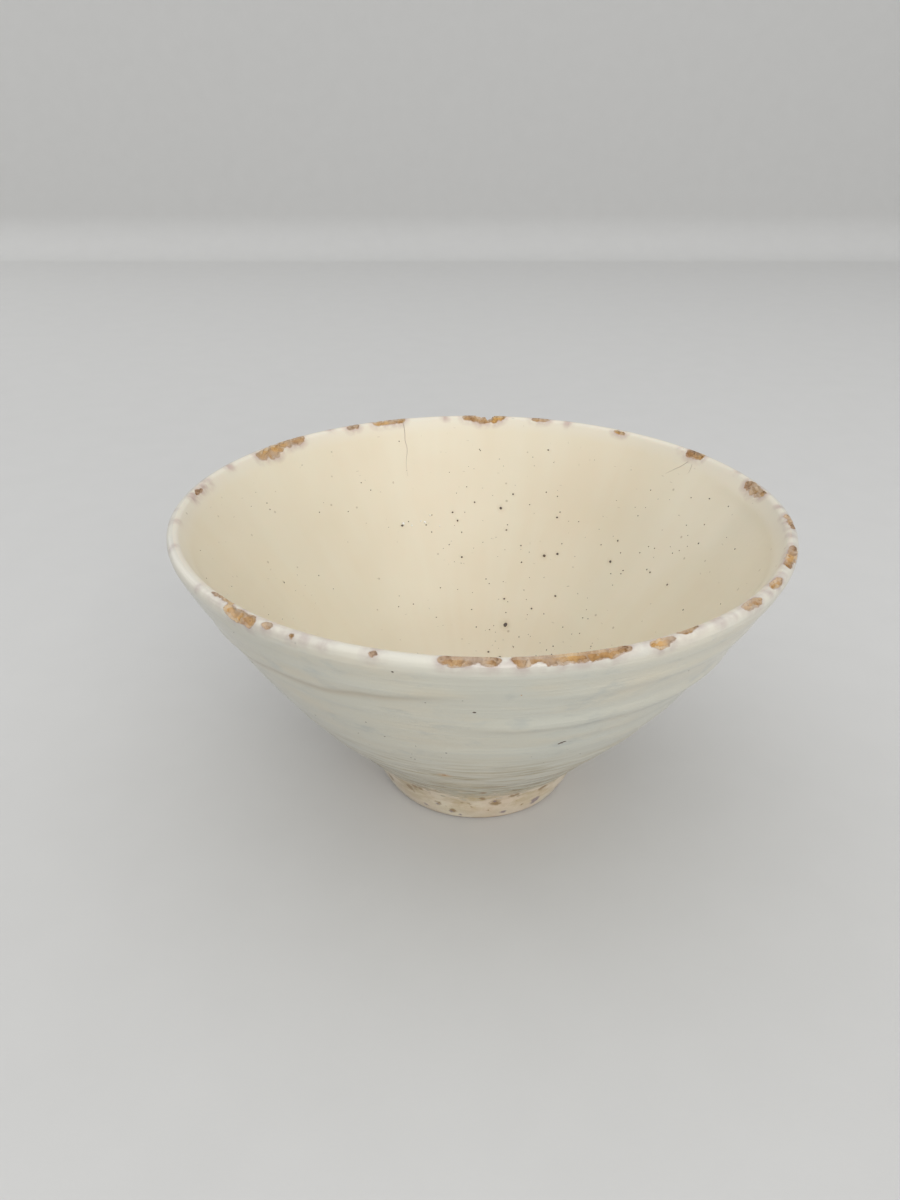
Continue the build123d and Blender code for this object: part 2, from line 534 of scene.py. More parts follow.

# %% [markdown]
# ## Marks that the finishes read
# Each coat carries a few values per vertex. "wheel" is the place on the bowl as the
# potter's wheel sees it: the way round and the height, so a pattern can run round the
# bowl or down it with no seam. "chip_near" is 1 at a chip's edge and fades with distance:
# tea has stained the glaze there, and the same mark also lays painted shade round the chips.
# "lip_stain" marks stained patches of the lip where no clay shows in the same way. "halo"
# is 1 under an iron speck, "foot_rust" and "foot_plum" are 1 in the middle of the brown and
# the purplish blots on the foot, and "fold" marks the dragged line of slip. Painting by hand
# would do as well, but a list of places can be corrected.

# %% Spots of iron
# Iron in the clay bleeds through the glaze. (angle, millimetres below the crest, size)
INSIDE_SPECKS = [
    (96.8, 24.2, 0.28), (95.3, 26.3, 0.30), (89.6, 21.8, 0.26), (69.6, 7.5, 0.26),
    (77.8, 19.4, 0.28), (81.2, 23.1, 0.42), (67.8, 18.0, 0.20), (62.6, 23.7, 0.28),
    (62.1, 22.3, 0.20), (78.7, 28.4, 0.26), (72.8, 31.8, 0.24), (63.5, 33.3, 0.44),
    (58.9, 32.2, 0.36), (71.5, 35.7, 0.24), (39.8, 25.0, 0.26), (38.7, 30.0, 0.40),
    (32.3, 30.5, 0.22), (24.0, 27.6, 0.22), (22.2, 27.7, 0.26), (12.5, 27.3, 0.30),
    (12.6, 16.4, 0.24), (358.7, 11.5, 0.22), (12.0, 6.6, 0.20), (19.1, 7.5, 0.22),
    (76.1, 44.6, 0.30), (53.9, 41.6, 0.30), (62.5, 45.7, 0.28), (73.4, 50.2, 0.62),
    (80.7, 56.0, 0.30), (72.4, 56.6, 0.34), (65.2, 56.5, 0.22), (43.5, 51.7, 0.22),
    (55.9, 46.1, 0.18), (94.5, 35.2, 0.30), (94.1, 29.2, 0.22), (92.0, 17.9, 0.16),
    (167.7, 26.6, 0.24), (357.3, 27.4, 0.24), (114.2, 26.1, 0.34), (106.0, 26.8, 0.22),
]
OUTSIDE_SPECKS = [
    (267.8, 14.2, 0.36), (256.4, 3.2, 0.22), (285.9, 28.2, 0.42), (285.4, 28.5, 0.50),
    (284.9, 28.8, 0.34), (262.0, 31.0, 0.26), (247.2, 23.2, 0.20), (249.6, 27.9, 0.20),
    (254.0, 36.5, 0.26), (253.2, 36.1, 0.18), (305.0, 12.0, 0.16), (231.0, 30.0, 0.18),
]
ORANGE_SPOTS = [(259.8, 44.0, 0.55), (274.6, 8.4, 0.16)]
# spots on the foot and just above it: angle, height above the table, radius
FOOT_RUST = [(232.7, 8.3, 0.75), (248.8, 5.6, 0.55), (256.0, 3.4, 0.55), (265.1, 7.5, 0.25),
             (266.7, 5.9, 0.22), (271.4, 15.6, 0.6), (272.1, 9.9, 0.55), (278.8, 7.6, 0.9),
             (275.3, 4.5, 0.22), (286.3, 9.9, 0.6), (289.0, 10.2, 0.5), (294.1, 4.2, 0.3),
             (304.6, 8.8, 0.8), (237.0, 10.6, 0.7), (240.5, 10.2, 0.5), (251.0, 13.5, 0.4),
             (216, 6.2, 0.7), (190, 8.0, 0.5), (164, 5.4, 0.8), (158, 7.0, 0.4), (140, 9.0, 0.6),
             (112, 6.6, 0.7), (88, 8.4, 0.5), (61, 5.2, 0.8), (30, 7.9, 0.6), (334, 6.3, 0.7)]
FOOT_PLUM = [(284.0, 2.7, 0.55), (303.2, 3.8, 0.85), (301.6, 4.4, 0.5), (247.6, 5.0, 0.3),
             (255.0, 2.8, 0.35), (260.0, 1.8, 0.3), (240.0, 2.8, 0.4), (278.2, 8.2, 0.3),
             (205, 3.4, 0.6), (178, 4.2, 0.5), (150, 2.6, 0.7), (124, 4.0, 0.5),
             (97, 3.0, 0.7), (70, 3.6, 0.4), (44, 3.1, 0.6), (14, 4.4, 0.5), (322, 3.2, 0.6)]
# stains on the lip where no clay shows: angle, lean from the crest, radius
LIP_STAINS = [(201.5, 20, 1.7), (189.5, 15, 2.0), (184.0, 40, 1.2), (168.5, -30, 2.2),
              (173.2, -30, 2.0), (171.0, -50, 1.7), (175.5, -25, 1.5), (177.0, -55, 1.8),
              (159.0, -20, 1.8), (238.5, 20, 1.6), (242.5, 30, 1.6), (246.0, 25, 1.8),
              (306.0, 10, 2.0), (309.0, 30, 1.2), (320.0, 30, 1.5), (327.0, 20, 1.2),
              (344.0, 5, 1.6), (357.5, 0, 1.4), (218.0, 30, 1.4), (97.0, -30, 1.4),
              (66.0, -30, 1.6), (34.5, -30, 1.6), (17.0, 0, 1.4), (127.0, -10, 1.3)]


def scatter(dice, count, angles, depths):
    """Seeded small specks, thinned out towards the edges of the stretch."""
    found = []
    for _ in range(count):
        angle = dice.triangular(*angles) % 360
        found.append((angle, dice.uniform(*depths), dice.choice((0.09, 0.11, 0.13, 0.18))))
    return found


dice = random.Random(21)
inside_specks = INSIDE_SPECKS + scatter(dice, 110, (0, 130, 66), (8, 57))
inside_specks += scatter(dice, 110, (0, 360, 120), (5, 60))
outside_specks = OUTSIDE_SPECKS + scatter(dice, 60, (0, 360, 180), (5, 56))
print("specks inside", len(inside_specks), "outside", len(outside_specks))


# %% Places on the two faces
def place_on(line, side, angle, depth):
    """Point on a face of the wall at a depth below the crest, and the way out of it."""
    height = CREST_HEIGHT - depth
    for (r0, z0), (r1, z1) in zip(line, line[1:]):
        if min(z0, z1) <= height <= max(z0, z1) and z0 != z1:
            break
    radius = r0 + (r1 - r0) * (height - z0) / (z1 - z0)
    a = math.radians(angle)
    slope = Vector((r1 - r0, z1 - z0)).normalized()
    if side > 0 and line is outside_line:
        radius += RING_RISE * ring_weight(angle, height)
    out = Vector((-slope.y * math.cos(a), -slope.y * math.sin(a), slope.x)) * side
    return Vector((radius * math.cos(a), radius * math.sin(a), height)) * MM, out


def inside_place(angle, depth):
    point, out = place_on(inside_line, 1, angle, depth)
    return point, -out if out.z < 0 else out


def outside_place(angle, depth):
    point, out = place_on(outside_line, 1, angle, depth)
    return point, out if out.x * point.x + out.y * point.y > 0 else -out


for place, words in ((inside_place, "inside"), (outside_place, "outside")):
    point, out = place(0, 30)
    print(words, [round(v / MM, 1) for v in point], "faces", [round(v, 2) for v in out])


# %% [markdown]
# The marks are worked out once per vertex and stored with the mesh. The distance to the
# nearest chip is read from a search tree over the chip cutter, which is quick even for a
# hundred thousand vertices.

# %% Helpers for marks
cutter_tree = BVHTree.FromObject(chip_cutter, bpy.context.evaluated_depsgraph_get())
# how far the tea stain and the painted shade round a chip reach
CHIP_STAIN_SHADE_REACH = 2.4 * MM


def set_mark(piece, name, values):
    mark = piece.data.attributes.new(name, "FLOAT", "POINT")
    mark.data.foreach_set("value", values)


def chip_nearness(co):
    distance = cutter_tree.find_nearest(co, CHIP_STAIN_SHADE_REACH)[3]
    return 0.0 if distance is None else 1 - distance / CHIP_STAIN_SHADE_REACH


def spot_strength(spots, place, reach):
    """For each spot, its point and how far its stain reaches."""
    return [(place(angle, depth)[0], size * reach * MM, size) for angle, depth, size in spots]


def nearest_spot(co, spots):
    best = 0.0
    for point, reach, size in spots:
        if abs(co.z - point.z) < reach:
            gap = (co - point).length
            if gap < reach:
                best = max(best, (1 - gap / reach) * min(1.0, size * 1.8))
    return best


def mark_wheel(piece):
    values = []
    for vertex in piece.data.vertices:
        flat = max(math.hypot(vertex.co.x, vertex.co.y), 1e-6)
        values += [vertex.co.x / flat, vertex.co.y / flat, vertex.co.z / (10 * MM)]
    mark = piece.data.attributes.new("wheel", "FLOAT_VECTOR", "POINT")
    mark.data.foreach_set("vector", values)


# the chip mark is tea stain and painted shade together
print("a chip stains the glaze up to", CHIP_STAIN_SHADE_REACH / MM, "mm away")

# %% Mark chips, specks and the lip
inside_halos = spot_strength([s for s in inside_specks if s[2] > 0.25], inside_place, 3.4)
outside_halos = spot_strength(ORANGE_SPOTS, outside_place, 4.0)
for piece, halos in ((inside_glaze, inside_halos), (outside_glaze, outside_halos)):
    mark_wheel(piece)
    places = [vertex.co.copy() for vertex in piece.data.vertices]
    set_mark(piece, "chip_near", [chip_nearness(co) for co in places])
    set_mark(piece, "halo", [nearest_spot(co, halos) for co in places])
mark_wheel(well_glaze)

STAIN_SPREAD = 1.4                            # a stain fades out past its radius
lip_spots = [(on_lip(angle, lean)[0], radius * STAIN_SPREAD * MM, 1.0)
             for angle, lean, radius in LIP_STAINS]
for piece in (inside_glaze, outside_glaze):
    stained = [nearest_spot(v.co, lip_spots) if v.co.z > 69 * MM else 0.0
               for v in piece.data.vertices]
    set_mark(piece, "lip_stain", stained)
    print(piece.name, sum(1 for value in stained if value > 0), "vertices in lip stains")


# %% Mark the foot and the fold
BLOT_SPREAD = 2.2


def foot_spots(spots):
    """Points on the foot's side with their reach, from (angle, height, radius)."""
    return [(outside_place(angle, CREST_HEIGHT - height)[0], radius * BLOT_SPREAD * MM, 1.0)
            for angle, height, radius in spots]


for name, spots in (("foot_rust", foot_spots(FOOT_RUST)), ("foot_plum", foot_spots(FOOT_PLUM))):
    values = [nearest_spot(v.co, spots) if v.co.z < 18 * MM else 0.0
              for v in outside_glaze.data.vertices]
    set_mark(outside_glaze, name, values)
    print(name, sum(1 for value in values if value > 0), "vertices")


def fold_strength(co):
    angle = angle_of(co)
    edge = follow(angle, FOLD) - 0.7
    return bump_at(co.z / MM, edge, 1.2) * window(angle, 216, 250, 14)


set_mark(outside_glaze, "fold", [fold_strength(v.co) for v in outside_glaze.data.vertices])

# %% [markdown]
# ## Materials
# Every finish is made of nodes that read the piece's own place or its marks. A short
# helper adds one node, sets its values and links what feeds it, so that each material
# reads from top to bottom like a recipe.


# %% Helpers for recipes
class Recipe:
    """One material's node tree, built a node at a time."""

    def __init__(self, material):
        self.tree = material.node_tree
        self.shader = self.tree.nodes["Principled BSDF"]
        self.place = self.add("ShaderNodeTexCoord").outputs["Object"]

    def add(self, kind, inputs=None, **settings):
        node = self.tree.nodes.new(kind)
        for key, value in settings.items():
            setattr(node, key, value)
        for key, value in (inputs or {}).items():
            if isinstance(value, bpy.types.NodeSocket):
                self.tree.links.new(value, node.inputs[key])
            else:
                node.inputs[key].default_value = value
        return node

    def mark(self, name, output="Fac"):
        return self.add("ShaderNodeAttribute", attribute_name=name).outputs[output]

    def stretched(self, vector, scale, offset=(0, 0, 0), turn=(0, 0, 0)):
        node = self.add("ShaderNodeMapping", {
            "Vector": vector, "Scale": scale, "Location": offset, "Rotation": turn})
        return node.outputs["Vector"]

    def noise(self, vector, scale, detail=4.0, roughness=0.5):
        node = self.add("ShaderNodeTexNoise", {
            "Vector": vector, "Scale": scale, "Detail": detail, "Roughness": roughness})
        return node.outputs["Fac"]

    def span(self, value, low, high, to_low=0.0, to_high=1.0):
        """Bring a value from one range into another, held at both ends."""
        node = self.add("ShaderNodeMapRange", {
            "Value": value, "From Min": low, "From Max": high,
            "To Min": to_low, "To Max": to_high})
        return node.outputs["Result"]

    def maths(self, operation, a, b):
        return self.add("ShaderNodeMath", {0: a, 1: b}, operation=operation).outputs[0]

    def blend(self, share, a, b):
        """Colour a, going to colour b as the share goes to 1."""
        node = self.add("ShaderNodeMix", {"Factor": share}, data_type="RGBA")
        for socket, colour in zip((node.inputs[6], node.inputs[7]), (a, b)):
            if isinstance(colour, bpy.types.NodeSocket):
                self.tree.links.new(colour, socket)
            else:
                socket.default_value = (*colour, 1.0)
        return node.outputs[2]

    def height_mm(self):
        apart = self.add("ShaderNodeSeparateXYZ", {0: self.place})
        return self.maths("MULTIPLY", apart.outputs["Z"], 1 / MM)

    def dots(self, vector, scale, radius, keep):
        """Small round dots in a share of the cells of a Voronoi pattern."""
        cells = self.add("ShaderNodeTexVoronoi", {"Vector": vector, "Scale": scale})
        chance = self.add("ShaderNodeSeparateColor", {0: cells.outputs["Color"]}).outputs[0]
        size = self.span(chance, 1 - keep, 1.0, 0.0, radius)
        inside = self.maths("SUBTRACT", size, cells.outputs["Distance"])
        return self.span(inside, 0.0, radius * 0.35)

    def bumps(self, parts):
        """Stack bumps: (height, strength, distance in millimetres)."""
        normal = None
        for height, strength, distance in parts:
            node = self.add("ShaderNodeBump", {
                "Height": height, "Strength": strength, "Distance": distance * MM})
            if normal:
                self.tree.links.new(normal, node.inputs["Normal"])
            normal = node.outputs["Normal"]
        self.tree.links.new(normal, self.shader.inputs["Normal"])

    def finish(self, colour, roughness, **sockets):
        self.tree.links.new(colour, self.shader.inputs["Base Color"])
        if isinstance(roughness, bpy.types.NodeSocket):
            self.tree.links.new(roughness, self.shader.inputs["Roughness"])
        else:
            self.shader.inputs["Roughness"].default_value = roughness
        for name, value in sockets.items():
            self.shader.inputs[name.replace("_", " ")].default_value = value


print("a recipe can", [word for word in vars(Recipe) if not word.startswith("_")])


# %% [markdown]
# Tea soaks in wherever the glaze is open, so both glazes darken round the chips and at the
# stained patches of the lip; round the chips the same darkening is also painted shade under
# the broken edges. Noise breaks the stain up, and a thin darker line follows the very edge
# of a chip.


# %% Tea stains and painted shade round the chips
def tea_stain_and_chip_shade(r, colour, near_start, strength, cloud_top, tint, edge_tint):
    """The colour, stained by tea at the patches of the lip, and round the chips darkened by tea stain
    and painted shade together.
    """
    near = r.mark("chip_near")
    cloudy = r.span(r.noise(r.place, 420, 4), 0.30, cloud_top)
    # round the chips: tea stain and painted shade under the broken edges, as one darkening
    stain = r.maths("MULTIPLY", r.span(near, near_start, 1.0, 0.0, strength), cloudy)
    patch = r.maths("MULTIPLY", r.span(r.mark("lip_stain"), 0.0, 0.8, 0.0, 0.85), cloudy)
    colour = r.blend(r.maths("MAXIMUM", stain, patch), colour, tint)
    return r.blend(r.span(near, 0.93, 1.0, 0.0, 0.7), colour, edge_tint)


# %% [markdown]
# The inside glaze is thick, warm and wet-looking. Under its clear top layer the slip
# varies from cream to a pinker cream in broad patches, and runs down the wall in faint
# bands. The coat layer of the shader is the glass; the base below it is the slip.

# %% Warm glaze
r = Recipe(warm_glaze)
wheel = r.mark("wheel", "Vector")
height = r.height_mm()
patches = r.span(r.noise(r.place, 26, 3), 0.38, 0.66)
colour = r.blend(patches, (0.68, 0.61, 0.465), (0.655, 0.57, 0.42))
bands = r.span(r.noise(r.stretched(wheel, (3.2, 3.2, 0.10)), 2.4, 3), 0.35, 0.7, 0.0, 0.28)
colour = r.blend(bands, colour, (0.69, 0.65, 0.52))
colour = r.blend(r.span(height, 30.0, 12.0, 0.0, 0.30), colour, (0.55, 0.47, 0.33))
# paler near the crest: partly a paler slip at the lip, partly painted highlight of the lit rim
colour = r.blend(r.span(height, 70.5, 74.2, 0.0, 0.7), colour, (0.68, 0.635, 0.54))
smudge = r.maths("MULTIPLY", r.mark("halo"), r.span(r.noise(r.place, 900, 3), 0.3, 0.7, 0.4, 1))
colour = r.blend(r.span(smudge, 0.0, 0.8, 0.0, 0.5), colour, (0.40, 0.29, 0.16))
# tea stain on the lip patches; tea stain and painted shade round the chips
colour = tea_stain_and_chip_shade(r, colour, 0.25, 0.75, 0.58, (0.43, 0.31, 0.27), (0.33, 0.20, 0.12))
faint = r.dots(r.place, 300, 0.15, 0.5)
scratches = r.maths("MAXIMUM",
                    r.dots(r.stretched(r.place, (1, 1, 5), turn=(0.9, 0.3, 0)), 210, 0.13, 0.4),
                    r.dots(r.stretched(r.place, (4, 1, 1), turn=(0.4, 0.8, 0.6)), 240, 0.12, 0.35))
marks = r.maths("MAXIMUM", r.maths("MULTIPLY", faint, 0.55), r.maths("MULTIPLY", scratches, 0.35))
colour = r.blend(marks, colour, (0.30, 0.23, 0.15))
r.bumps([
    (r.noise(r.place, 45, 3), 0.30, 0.9),
    (r.noise(r.place, 380, 3), 0.25, 0.10),
    (marks, -0.5, 0.08),
])
r.finish(colour, 0.42, Coat_Weight=0.55, Coat_Roughness=0.13, Coat_IOR=1.45,
         Subsurface_Weight=0.04, Subsurface_Scale=0.0012)
print(warm_glaze.name, len(r.tree.nodes), "nodes")

# %% [markdown]
# The outside is thinner and cooler, with a satin skin, and bluish grey shows where the slip
# is thin. Clouds of noise in the piece's own place make the patches, and the same noise
# squeezed in height along the "wheel" mark makes sweeps that run round the bowl. This
# recipe is long, so it takes three cells.

# %% Cool glaze: the slip on the wall
r = Recipe(cool_glaze)
wheel = r.mark("wheel", "Vector")
height = r.height_mm()
patches = r.span(r.noise(r.place, 22, 4), 0.36, 0.66)
colour = r.blend(patches, (0.575, 0.545, 0.445), (0.525, 0.525, 0.455))
cream = r.span(r.noise(r.stretched(wheel, (1.6, 1.6, 0.9), (3, 1, 2)), 1.8, 4), 0.50, 0.72, 0.0, 0.6)
colour = r.blend(cream, colour, (0.59, 0.525, 0.395))
clouds = r.span(r.noise(r.stretched(r.place, (1, 1, 1.8), (2, 9, 4)), 120, 4, 0.6), 0.54, 0.70, 0.0, 0.6)
colour = r.blend(clouds, colour, (0.42, 0.435, 0.40))
sweeps = r.noise(r.stretched(wheel, (1.1, 1.1, 7.0)), 1.6, 5, 0.6)
colour = r.blend(r.span(sweeps, 0.52, 0.74, 0.0, 0.30), colour, (0.49, 0.51, 0.485))
print("slip:", len(r.tree.nodes), "nodes so far")

# %% [markdown]
# Near the foot the brush and the turning tool left tan and brown lines, which the "wheel"
# mark draws again. The foot itself is pinkish with ochre clouds, because the slip is
# thinnest there, and its upper edge is ragged. Rust and plum blots sit on it.

# %% Cool glaze: lines and the foot
low_wall = r.span(height, 42.0, 30.0)
lines = r.span(r.noise(r.stretched(wheel, (2.4, 2.4, 8.0), (1, 4, 0)), 1.5, 5, 0.65), 0.46, 0.60)
tan_lines = r.maths("MULTIPLY", r.maths("MULTIPLY", low_wall, lines), 0.90)
colour = r.blend(tan_lines, colour, (0.34, 0.28, 0.16))
colour = r.blend(r.span(height, 25.0, 15.0, 0.0, 0.45), colour, (0.34, 0.305, 0.205))
strokes = r.span(r.noise(r.stretched(wheel, (4.0, 4.0, 12.0), (6, 2, 3)), 1.5, 4, 0.6), 0.52, 0.63)
strokes = r.maths("MULTIPLY", strokes, r.span(height, 30.0, 17.0, 0.0, 0.85))
colour = r.blend(strokes, colour, (0.19, 0.14, 0.06))
edge = r.span(r.noise(r.stretched(wheel, (6, 6, 5)), 1.9, 5, 0.7), 0.30, 0.70, -6.0, 6.0)
foot = r.span(r.maths("ADD", height, edge), 14.0, 11.0)
pink = r.span(r.noise(r.place, 95, 5, 0.6), 0.40, 0.62)
pink = r.blend(pink, (0.70, 0.62, 0.475), (0.66, 0.535, 0.405))
ochre = r.span(r.noise(r.stretched(r.place, (1, 1, 2), (7, 3, 2)), 150, 5, 0.65), 0.45, 0.62)
ochre = r.maths("MULTIPLY", ochre, r.span(height, 2.0, 10.0, 0.25, 0.95))
pink = r.blend(ochre, pink, (0.47, 0.355, 0.185))
colour = r.blend(r.maths("MULTIPLY", foot, 0.9), colour, pink)
for spot, tint in (("foot_rust", (0.26, 0.155, 0.05)), ("foot_plum", (0.20, 0.145, 0.165))):
    ragged = r.noise(r.stretched(r.place, (1, 1, 1.3), (3, 1, 5)), 620, 4, 0.65)
    level = r.maths("ADD", r.mark(spot), r.maths("MULTIPLY", ragged, 1.9))
    blot = r.maths("MULTIPLY", r.span(level, 1.05, 1.55), r.span(r.mark(spot), 0.0, 0.15))
    colour = r.blend(r.maths("MULTIPLY", blot, 0.9), colour, tint)
freckles = r.maths("MULTIPLY", r.dots(r.place, 520, 0.34, 0.55), r.span(height, 17.0, 8.0))
colour = r.blend(r.maths("MULTIPLY", freckles, 0.6), colour, (0.33, 0.22, 0.12))
print("with the foot:", len(r.tree.nodes), "nodes")

# %% [markdown]
# Last come the brown line under the fold, the paler lip, which is partly painted highlight of
# the lit rim, the tea stains with the painted shade round the chips, an orange halo round each
# rust spot, and the satin sheen with its soft lines.

# %% Cool glaze: fold, lip and sheen
colour = r.blend(r.maths("MULTIPLY", r.mark("fold"), 0.55), colour, (0.42, 0.33, 0.20))
# paler near the crest: partly a paler slip at the lip, partly painted highlight of the lit rim
colour = r.blend(r.span(height, 70.0, 74.2, 0.0, 0.6), colour, (0.66, 0.625, 0.54))
# tea stain on the lip patches; tea stain and painted shade round the chips
colour = tea_stain_and_chip_shade(r, colour, 0.15, 0.8, 0.62, (0.42, 0.345, 0.31), (0.32, 0.20, 0.13))
colour = r.blend(r.span(r.mark("halo"), 0.1, 0.9, 0.0, 0.8), colour, (0.50, 0.28, 0.10))
faint = r.dots(r.place, 300, 0.10, 0.3)
colour = r.blend(r.maths("MULTIPLY", faint, 0.35), colour, (0.22, 0.20, 0.18))
satin = r.span(r.noise(r.place, 60, 4), 0.3, 0.7, 0.34, 0.50)
r.bumps([
    (sweeps, 0.30, 0.35),
    (r.noise(r.stretched(wheel, (2.5, 2.5, 9.0), (5, 0, 1)), 1.6, 5, 0.6), 0.40, 0.35),
    (r.noise(r.place, 420, 3), 0.22, 0.10),
])
r.finish(colour, satin, Coat_Weight=0.55, Coat_Roughness=0.11, Coat_IOR=1.5)
print(cool_glaze.name, len(r.tree.nodes), "nodes")

# %% [markdown]
# Three dry finishes are left. Bare stoneware shows on the wiped edge of the foot. Chipped
# clay is fresher and more orange, with grit in it. Broken glaze is the thin edge of a
# coat, stained brown by tea.

# %% Clay and broken edges
for material, dark, light, ochre in (
        (bare_stoneware, (0.34, 0.24, 0.155), (0.52, 0.41, 0.29), (0.50, 0.35, 0.20)),
        (chipped_clay, (0.27, 0.14, 0.05), (0.51, 0.335, 0.17), (0.55, 0.32, 0.10)),
        (broken_glaze, (0.30, 0.18, 0.10), (0.54, 0.41, 0.28), (0.55, 0.41, 0.24))):
    r = Recipe(material)
    cloud = r.span(r.noise(r.place, 260, 5), 0.34, 0.66)
    colour = r.blend(cloud, dark, light)
    colour = r.blend(r.span(r.noise(r.place, 110, 3), 0.45, 0.65), colour, ochre)
    ash = r.span(r.noise(r.stretched(r.place, (1, 1, 1), (5, 2, 8)), 150, 4), 0.50, 0.64, 0.0, 0.6)
    colour = r.blend(ash, colour, (0.40, 0.325, 0.265))
    grit = r.dots(r.place, 1100, 0.30, 0.5)
    colour = r.blend(r.maths("MULTIPLY", grit, 0.40), colour, (0.13, 0.085, 0.06))
    r.bumps([(r.noise(r.place, 900, 5, 0.65), 0.7, 0.18), (grit, 0.4, 0.06)])
    r.finish(colour, r.span(cloud, 0.0, 1.0, 0.72, 0.92))
    print(material.name, len(r.tree.nodes), "nodes")

# %% [markdown]
# ## Specks
# A speck of iron is a flat blister a few tenths of a millimetre wide. One is modelled: a
# small ball cut in half and squashed. Every other speck is a copy with its own mesh, laid
# on the wall at its place, and each face's specks are then joined into one piece.


# %% Speck finishes
def iron_finish(name, dark, light, roughness):
    material = new_material(name)
    r = Recipe(material)
    tone = r.span(r.noise(r.place, 1600, 3), 0.3, 0.7)
    r.bumps([(r.noise(r.place, 2400, 2), 0.4, 0.05)])
    r.finish(r.blend(tone, dark, light), roughness, Coat_Weight=0.4)
    return material


iron_black = iron_finish("iron_black", (0.030, 0.020, 0.013), (0.10, 0.06, 0.035), 0.38)
iron_orange = iron_finish("iron_orange", (0.30, 0.14, 0.035), (0.52, 0.29, 0.09), 0.45)
print("finishes", iron_black.name, iron_orange.name)


# %% Model one speck and lay the copies
def lay_specks(name, spots, place, material, rise=0.10):
    """One piece made of a speck at each (angle, depth, radius); rise in millimetres."""
    deselect_all()
    bpy.ops.mesh.primitive_uv_sphere_add(segments=8, ring_count=4, radius=1.0)
    first = bpy.context.object
    bpy.ops.object.mode_set(mode="EDIT")
    bpy.ops.mesh.bisect(plane_co=(0, 0, -0.3), plane_no=(0, 0, 1), use_fill=True, clear_inner=True)
    bpy.ops.object.mode_set(mode="OBJECT")
    shape = first.data
    copies = []
    for angle, depth, size in spots:
        point, out = place(angle, depth)
        turned = out.to_track_quat("Z", "Y").to_matrix()
        stretch = 1 + 0.35 * noise.noise(point * 900)
        copy = first.copy()
        copy.data = shape.copy()
        for vertex in copy.data.vertices:
            wide = size * (1 + 0.25 * noise.noise(vertex.co * 1.3 + point * 3000))
            x, y, z = vertex.co
            local = Vector((x * wide * stretch, y * wide / stretch, z * rise))
            vertex.co = point + turned @ local * MM
        bpy.context.collection.objects.link(copy)
        copies.append(copy)
    bpy.data.objects.remove(first)
    deselect_all()
    for copy in copies:
        copy.select_set(True)
    bpy.context.view_layer.objects.active = copies[0]
    bpy.ops.object.join()
    specks = bpy.context.object
    specks.name = specks.data.name = name
    specks.data.materials.append(material)
    bpy.ops.object.shade_smooth()
    print(name, len(specks.data.polygons), "faces")
    return specks


# %% [markdown]
# ## Hairlines
# Fine cracks run down from two chips in the rim. Each is a thin path laid on the glaze:
# a curve through a few places on the wall, given a hair's thickness and made a mesh. A
# painted line would be as thin, but it would blur on a wall with so few faces.

# %% Cracks
# (angle, millimetres below the crest, thickness) from the chip down
CRACKS = {
    "crack_back": [(107.9, 0.8, 1.3), (107.8, 3.0, 1.2), (108.3, 5.2, 1.0), (107.9, 7.2, 0.9),
                   (108.5, 9.2, 0.7), (109.2, 11.6, 0.5), (109.2, 14.2, 0.2)],
    "crack_right": [(31.2, 2.2, 1.0), (32.0, 3.6, 0.9), (34.0, 5.2, 0.6), (35.6, 6.8, 0.2)],
    "crack_right_short": [(29.8, 2.6, 1.0), (29.3, 3.6, 0.7), (29.5, 5.0, 0.3)],
}
crack_brown = new_material("crack_brown")
r = Recipe(crack_brown)
r.finish(r.blend(r.noise(r.place, 500, 2), (0.38, 0.32, 0.27), (0.50, 0.43, 0.36)), 0.7)


def lay_crack(name, marks, radius):
    """A hairline through (angle, depth, thickness) marks; radius in millimetres."""
    deselect_all()
    bpy.ops.curve.primitive_nurbs_path_add(radius=1.0)
    path = bpy.context.object
    path.name = path.data.name = name
    path.data.splines.clear()
    spline = path.data.splines.new("NURBS")
    spline.points.add(len(marks) - 1)
    for point, (angle, depth, thickness) in zip(spline.points, marks):
        point.co = (*inside_place(angle, depth)[0], 1)
        point.radius = thickness
    spline.order_u = 3
    spline.use_endpoint_u = True
    path.data.bevel_depth = radius * MM
    path.data.bevel_resolution = 1
    path.data.use_fill_caps = True
    bpy.ops.object.convert(target="MESH")
    crack = bpy.context.object
    crack.data.materials.append(crack_brown)
    print(name, len(crack.data.polygons), "faces")
    return crack


CRACK_RADIUS = 0.09
cracks = [lay_crack(name, marks, CRACK_RADIUS) for name, marks in CRACKS.items()]

# %% [markdown]
# ## Blisters
# A few bubbles stopped under the glaze high on the back wall. They stand a little proud of
# it and catch the light, and their colour is a whiter cream than the glaze, a painted glint.
# They are laid like the specks.

# %% Lay specks and blisters
BLISTERS = [(113.6, 25.7, 0.42), (106.3, 26.1, 0.40), (107.6, 25.7, 0.26), (110.9, 26.5, 0.24),
            (104.3, 24.5, 0.22), (101.5, 27.4, 0.2)]
bubble_with_painted_glint = new_material("bubble_with_painted_glint")
r = Recipe(bubble_with_painted_glint)
tone = r.span(r.noise(r.place, 1600, 3), 0.3, 0.7)
# the whiter cream colour is a painted glint
r.finish(r.blend(tone, (0.80, 0.79, 0.74), (0.90, 0.90, 0.87)), 0.06,
         Coat_Weight=1.0, Coat_Roughness=0.03)
blisters = lay_specks("glaze_blisters", BLISTERS, inside_place, bubble_with_painted_glint, rise=0.30)
specks_in = lay_specks("inside_iron_specks", inside_specks, inside_place, iron_black)
specks_out = lay_specks("outside_iron_specks", outside_specks, outside_place, iron_black)
spots_orange = lay_specks("outside_rust_spots", ORANGE_SPOTS, outside_place, iron_orange)

# %% [markdown]
# ## Letting the rim settle
# No thrown rim is perfectly level or round: it sinks and leans a little as it dries and
# shrinks in the kiln. A lattice round the whole bowl moves everything together, so the
# coats stay on the clay and the specks on the coats. Its lower points stay where they are,
# which keeps the foot flat on the table.

